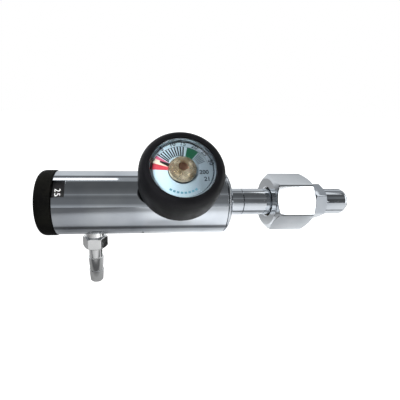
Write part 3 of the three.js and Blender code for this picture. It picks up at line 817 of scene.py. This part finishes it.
def dial():
    face = DIAL_FACE
    disc = rounded([(39.7, 2), (39.7, 18), (face, 18, 0.1), (face, 2)])
    dress(revolve("gauge_dial", disc, 96, GAUGE), DIAL, "body", "dial_face", "gauge_dial")

    def zone(name, look, inner, outer, start, end, thick=0.03):
        slab = prism_hull(name, arc_outline(inner, outer, start, end, 3), face, face + thick, GAUGE)
        dress(slab, look, "body", "dial_face")

    zone("dial_zone_cream", INK_CREAM, 7.2, 17.4, 152.5, 163)
    zone("dial_zone_red_low", INK_RED, 7.2, 16.0, 163.2, 177.5)
    zone("dial_zone_red_high", INK_PINK, 7.6, 15.2, 145.5, 152.2)
    zone("dial_zone_green", INK_GREEN, 8.4, 14.0, 50, 75.5)

    def tick(inner, outer, angle, width):
        half = width / 2
        c, s = math.cos(math.radians(angle)), math.sin(math.radians(angle))
        outline = [
            (inner * c - half * s, inner * s + half * c), (inner * c + half * s, inner * s - half * c),
            (outer * c + half * s, outer * s - half * c), (outer * c - half * s, outer * s + half * c),
        ]
        return prism_hull("tick", outline, face, face + 0.035, GAUGE)

    marks = [tick(7.9, 15.3, 142, 0.65)]
    marks += [tick(8.5, 14.2, 136.6 - 6.6 * k, 0.72) for k in range(9)]
    marks += [tick(9.0, 13.2, 46 - 4.2 * k, 0.3) for k in range(6)]
    marks.append(prism_hull("tick", arc_outline(14.05, 14.2, 18, 143, 3), face, face + 0.035, GAUGE))
    dress(joined("dial_ticks", marks), INK_BLACK, "body", "dial_face")

    outer = []
    scale = (("0", 156), ("5", 128), ("10", 104), ("15", 84), ("20", 62), ("25", 40), ("30", 18))
    for text, angle in scale:
        cy, cz = polar(15.9, angle)
        outer.append(numeral(text, 2.4, 0.035, on_dial(face, cy, cz, angle - 90), weight=0.03))
    for text, cy, cz in (("200", 11.0, -0.6), ("21", 12.0, -4.4)):
        outer.append(numeral(text, 2.2, 0.035, on_dial(face, cy, cz), weight=0.04))
    dress(joined("dial_figures", outer), INK_BLACK, "body", "dial_face")
    dashes = [prism_hull("tick", arc_outline(11.4, 12.5, a, a + 6, 3), face, face + 0.03, GAUGE)
              for a in (236, 245, 254, 263, 272, 281, 290, 299)]
    dress(joined("dial_dashes", dashes), INK_TEAL, "body", "dial_face")


def pointer():
    back, front = 40.6, 41.3
    zero = 156
    disc = revolve("disc", rounded([
        (back, 1.3), (back, 7.2, 0.1), (front, 7.2, 0.15), (front, 1.3),
    ]), 72, GAUGE)
    apply_modifiers(disc)
    direction = Vector(polar(1, zero))
    side = Vector((-direction.y, direction.x))
    root, tip = direction * 6, direction * 11.9
    outline = [root - side * 1.0, tip - side * 0.3, tip + side * 0.3, root + side * 1.0]
    needle = prism_hull("needle", outline, back + 0.1, front - 0.1, GAUGE)
    dress(joined("gauge_pointer", [disc, needle]), BLACK_PLASTIC, "pointer", "black_plastic", "gauge_pointer")
    reach = hexagon(4.5, 0, 0.15)
    rim = spline([(42.35, 7.0), (43.1, 6.75), (43.9, 6.05), (44.6, 5.1), (45.1, 4.0), (45.35, 3.1)], 5)

    def rows(phi):
        r = reach(phi)
        mouth = [(45.42, r + 0.22), (45.3, r + 0.04), (45.1, r), (44.0, r - 0.02), (43.9, r - 0.1), (43.9, 0)]
        return [(42.7, 0), (42.7, 1.3), (41.6, 1.3), (41.6, 6.85), (41.75, 7.0)] + rim + mouth

    hub = revolve("hub_screw", rows, hex_columns(0, 8, 4), GAUGE, closed=False)
    dress(hub, BRASS_HUB, "pointer", "polished_brass", "hub_screw")
    # painted shade: a dark prism fills the hex socket's hollow, down to its floor
    corners = [polar(reach(math.radians(a)) - 0.03, a) for a in range(0, 360, 10)]
    dress(prism_hull("hub_socket_painted_shade", corners, 43.92, 44.5, GAUGE), SOCKET_PAINTED_SHADE, "pointer", "polished_brass")


# ---- Finishes of the gauge -------------------------------------------------------------------------------

INK_WHITE = ink("ink_white", rgb(225, 228, 228))
INK_BLACK = ink("ink_black", rgb(12, 14, 20))
INK_RED = ink("ink_red", rgb(196, 62, 74))
INK_PINK = ink("ink_pink", rgb(205, 92, 120))
INK_CREAM = ink("ink_cream", rgb(232, 214, 190))
INK_GREEN = ink("ink_green", rgb(24, 72, 50))
INK_TEAL = ink("ink_teal", rgb(90, 135, 150))


def dial_look():
    """White print with painted shade that turns it grey towards the dial's right side, as the photo shows it.
    """
    n = Nodes("dial_print_and_painted_shade")
    grain = n.noise(1400, 3, 0.6)
    # painted shade: the print darkens towards the dial's right side by its place along X, with a little
    # random tone added
    right = n.ranged(n.axes(n.coords)["X"], 0, 0.85, -0.118, -0.098)
    painted_shade_and_tone = n.math("ADD", right, n.math("MULTIPLY", n.noise(120, 3), 0.15))
    n.set(
        Base_Color=n.ramp(painted_shade_and_tone, (0.03, rgb(206, 224, 234)), (0.3, rgb(182, 195, 203)),
                          (0.8, rgb(126, 133, 140))),
        Metallic=0.25,
        Roughness=n.ranged(n.noise(260, 3), 0.32, 0.46),
        Normal=n.bump(grain, 3e-6),
    )
    return n.material


def lens_look():
    n = Nodes("lens_clear")
    n.tree.nodes.remove(n.shader)
    clear = n.node("ShaderNodeBsdfTransparent")
    clear.inputs["Color"].default_value = (0.93, 0.96, 0.97, 1)
    gloss = n.node("ShaderNodeBsdfGlossy")
    gloss.inputs["Color"].default_value = (1, 1, 1, 1)
    n.link(n.ranged(n.noise(300, 3), 0.02, 0.08), gloss.inputs["Roughness"])
    fresnel = n.node("ShaderNodeFresnel")
    fresnel.inputs["IOR"].default_value = 1.2
    n.link(n.bump(n.noise(500, 3), 2e-6), gloss.inputs["Normal"])
    mix = n.node("ShaderNodeMixShader")
    n.link(fresnel.outputs["Fac"], mix.inputs["Fac"])
    n.link(clear.outputs["BSDF"], mix.inputs[1])
    n.link(gloss.outputs["BSDF"], mix.inputs[2])
    n.link(mix.outputs["Shader"], n.output.inputs["Surface"])
    return n.material


DIAL = dial_look()
LENS = lens_look()
SLOT_LOOKS["dial_face"] = DIAL
SLOT_LOOKS["clear_lens"] = LENS


# ---- Relief valve ----------------------------------------------------------------------------------------

def relief_plug():
    plug = revolve("relief_plug", rounded([
        (14.2, 3), (14.2, 4, 0.2), (18.6, 4, 0.35), (18.6, 1.3, 0.15), (15.6, 1.3), (15.6, 3),
    ]), 64, RELIEF)
    apply_modifiers(plug)
    slot = prism_hull("cutter", [(-0.6, -6), (0.6, -6), (0.6, 6), (-0.6, 6)], 18.0, 20, RELIEF)
    subtract(plug, slot)
    dress(plug, BRASS_TURNED, "body", "turned_brass", "relief_plug")


# ---- Springs ---------------------------------------------------------------------------------------------

def shortening_spring(name):
    """A copy of a CAD spring, dressed in steel in place of the CAD node."""
    coil = bpy.data.objects.new(name, frame["nodes"][name].data.copy())
    bpy.context.scene.collection.objects.link(coil)
    dress(coil, STEEL, "body", "steel", name)
    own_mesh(coil)


# ---- Assembly --------------------------------------------------------------------------------------------

body_shell()
inlet_bonnet()
inlet_nipple()
inlet_nut()
inlet_small_parts()
knob()
number_ring()
outlet_barb()
gauge_housing()
dial()
pointer()
relief_plug()
shortening_spring("main_spring")
shortening_spring("relief_spring")

slot_of = {part["node"]: part["material_slot"] for part in frame["record"]["subparts"]}
for node_name, node in frame["nodes"].items():
    node.data.materials.clear()
    node.data.materials.append(SLOT_LOOKS[slot_of[node_name]])


# ---- Stage, light and camera -----------------------------------------------------------------------------

def world():
    """White to the camera. In reflections it is banded by elevation, tuned to the photo."""
    scene_world = bpy.data.worlds.new("studio")
    bpy.context.scene.world = scene_world
    scene_world.use_nodes = True
    n = Tree(scene_world.node_tree)
    n.tree.nodes.clear()
    output = n.node("ShaderNodeOutputWorld")
    direction = n.axes(n.node("ShaderNodeTexCoord").outputs["Generated"])
    elevation = n.math("ARCTAN2", direction["Z"], n.math("MULTIPLY", direction["Y"], -1))
    degrees_and_brightness = (
        (0, 0.60), (6, 0.42), (12, 0.24), (26, 0.22), (33, 0.18), (40, 0.22), (44, 0.36), (48, 0.20),
        (56, 0.16), (70, 0.13), (95, 0.13), (99, 0.42), (114, 0.48), (118, 0.20), (126, 0.20), (130, 0.86),
        (180, 0.72),
    )
    bands = n.ramp(n.ranged(elevation, 0, 1, 0, math.pi), *(
        (degrees / 180, (value * 0.97, value, value * 1.03)) for degrees, value in degrees_and_brightness
    ))
    far_left = n.ranged(direction["X"], 0.12, 1, -0.93, -0.72)
    right = n.ranged(direction["X"], 1, 0.45, 0.3, 0.44)
    overhead = n.ranged(direction["Z"], 0, 1, 0.3, 0.5)
    sides = n.math("MULTIPLY", far_left, n.math("MAXIMUM", right, overhead))
    path = n.node("ShaderNodeLightPath")
    fill = n.ranged(path.outputs["Is Diffuse Ray"], 1, 0.4, 0, 1)
    studio = n.node("ShaderNodeBackground")
    n.link(bands, studio.inputs["Color"])
    n.link(n.math("MULTIPLY", sides, fill), studio.inputs["Strength"])
    white = n.node("ShaderNodeBackground")
    white.inputs["Color"].default_value = (1, 1, 1, 1)
    mix = n.node("ShaderNodeMixShader")
    n.link(path.outputs["Is Camera Ray"], mix.inputs["Fac"])
    n.link(studio.outputs["Background"], mix.inputs[1])
    n.link(white.outputs["Background"], mix.inputs[2])
    n.link(mix.outputs["Shader"], output.inputs["Surface"])


def floor():
    """White paper to the camera, which sees it glow. In reflections it carries painted shade, darker to the
    left under the barrel and the knob, and a painted shadow band along the barrel's front edge. It is also
    darker behind.
    """
    level = CAD_BOX[0].z - 0.05 * MM
    mesh = bpy.data.meshes.new("floor")
    reach = 6.0
    corners = [(-reach, -reach, level), (reach, -reach, level), (reach, reach, level), (-reach, reach, level)]
    mesh.from_pydata(corners, [], [(0, 1, 2, 3)])
    piece = bpy.data.objects.new("floor", mesh)
    bpy.context.scene.collection.objects.link(piece)
    n = Nodes("floor_paper_and_painted_shade")
    place = n.axes(n.coords)
    # painted shade: the floor darkens towards the left, under the barrel and the knob
    painted_shade_under_barrel = n.ranged(place["X"], 0.42, 1.0, -0.135, -0.09)
    painted_shade_under_knob = n.ranged(place["X"], 0.55, 1.0, -0.21, -0.14)
    left = n.math("MULTIPLY", painted_shade_under_barrel, painted_shade_under_knob)
    # painted shadow: a dark band on the floor at y = -19 mm, along the barrel's front edge
    painted_shadow_band = n.ranged(n.math("ABSOLUTE", n.math("ADD", place["Y"], 0.019)), 0.25, 1.0, 0.004, 0.011)
    # the painted shade and shadow fade out between 80 and 120 mm behind the axis; further behind, the floor
    # takes a mid grey
    near = n.math("MULTIPLY", n.math("MULTIPLY", left, painted_shadow_band), n.ranged(place["Y"], 1, 0, 0.08, 0.12))
    paper = n.math("ADD", near, n.ranged(place["Y"], 0, 0.45, 0.08, 0.12))
    n.set(
        Base_Color=n.ramp(paper, (0, (0.02, 0.02, 0.022)), (1, (0.86, 0.87, 0.88))),
        Roughness=0.9,
        Specular_IOR_Level=0.1,
        Normal=n.bump(n.noise(900, 2), 2e-5),
    )
    path = n.node("ShaderNodeLightPath")
    n.set(Emission_Color=(1, 1, 1, 1), Emission_Strength=path.outputs["Is Camera Ray"])
    mesh.materials.append(n.material)


def flag():
    """A small black card beside the hose outlet, seen only in the chrome, where it puts a painted dark
    reflection.
    """
    mesh = bpy.data.meshes.new("flag")
    x, front, back, low, high = -0.128, 0.004, 0.04, -0.06, -0.029
    mesh.from_pydata([(x, front, low), (x, back, low), (x, back, high), (x, front, high)], [], [(0, 1, 2, 3)])
    card = bpy.data.objects.new("flag", mesh)
    bpy.context.scene.collection.objects.link(card)
    card.visible_camera = False
    card.visible_diffuse = False
    card.visible_shadow = False
    n = Nodes("dark_reflection_card")
    black = n.ramp(n.noise(80), (0.3, (0.01, 0.01, 0.01)), (0.7, (0.03, 0.03, 0.03)))
    n.set(Base_Color=black, Roughness=0.8)
    mesh.materials.append(n.material)


def area(name, centre, target, width, height, power, glossy=True):
    light = bpy.data.lights.new(name, "AREA")
    light.shape = "RECTANGLE"
    light.size, light.size_y = width, height
    light.energy = power
    lamp = bpy.data.objects.new(name, light)
    bpy.context.scene.collection.objects.link(lamp)
    lamp.location = centre
    lamp.rotation_euler = (Vector(target) - Vector(centre)).to_track_quat("-Z", "Y").to_euler()
    lamp.visible_camera = False
    lamp.visible_glossy = glossy


def radiance(value, width, height):
    """The power in watts of a flat light of that size whose surface shows this brightness."""
    return value * math.pi * width * height


def lights():
    sun = bpy.data.lights.new("overhead", "SUN")
    sun.energy = 2.4
    sun.angle = math.radians(20)
    lamp = bpy.data.objects.new("overhead", sun)
    bpy.context.scene.collection.objects.link(lamp)
    lamp.rotation_euler = Vector((0.05, -0.2, -1)).to_track_quat("-Z", "Y").to_euler()
    lamp.visible_camera = False
    lamp.visible_glossy = False
    area("strip", (-0.62, 0.29, 0.92), (-0.62, 0, 0), 0.85, 0.19, radiance(1.7, 0.85, 0.19))
    area("side", (0.42, 0.02, 0.05), (0, 0.02, 0.05), 0.3, 0.26, radiance(1.5, 0.3, 0.26))
    area("window", (0.41, -0.74, 0.25), (-0.038, 0, 0), 0.14, 0.24, radiance(3.2, 0.14, 0.24))
    area("ceiling", (0.50, 0.08, 0.95), (-0.038, 0, 0), 0.5, 0.26, radiance(0.95, 0.5, 0.26))
    dial_centre = GAUGE @ Vector((DIAL_FACE * MM, 0, 0))
    near = GAUGE @ Vector((0.155, -0.065, -0.02))
    area("dial_fill", near, dial_centre, 0.05, 0.05, 0.42, glossy=False)


def camera():
    data = bpy.data.cameras.new("camera")
    data.lens = 27
    data.sensor_width = 36
    data.shift_x = 0.1014
    data.clip_start = 0.01
    yaw, pitch, roll = math.radians(4.99), math.radians(16.85), math.radians(1.18)
    ahead = Vector((math.sin(yaw) * math.cos(pitch), math.cos(yaw) * math.cos(pitch), -math.sin(pitch)))
    right = Vector((math.cos(yaw), -math.sin(yaw), 0))
    up = right.cross(ahead)
    side = right * math.cos(roll) + up * math.sin(roll)
    top = up * math.cos(roll) - right * math.sin(roll)
    turn = Matrix((side, top, -ahead)).transposed().to_4x4()
    view = bpy.data.objects.new("camera", data)
    bpy.context.scene.collection.objects.link(view)
    view.matrix_world = Matrix.Translation((-0.13403, -0.176, 0.05478)) @ turn
    bpy.context.scene.camera = view


world()
floor()
flag()
lights()
camera()
bpy.context.scene.view_settings.view_transform = "Standard"
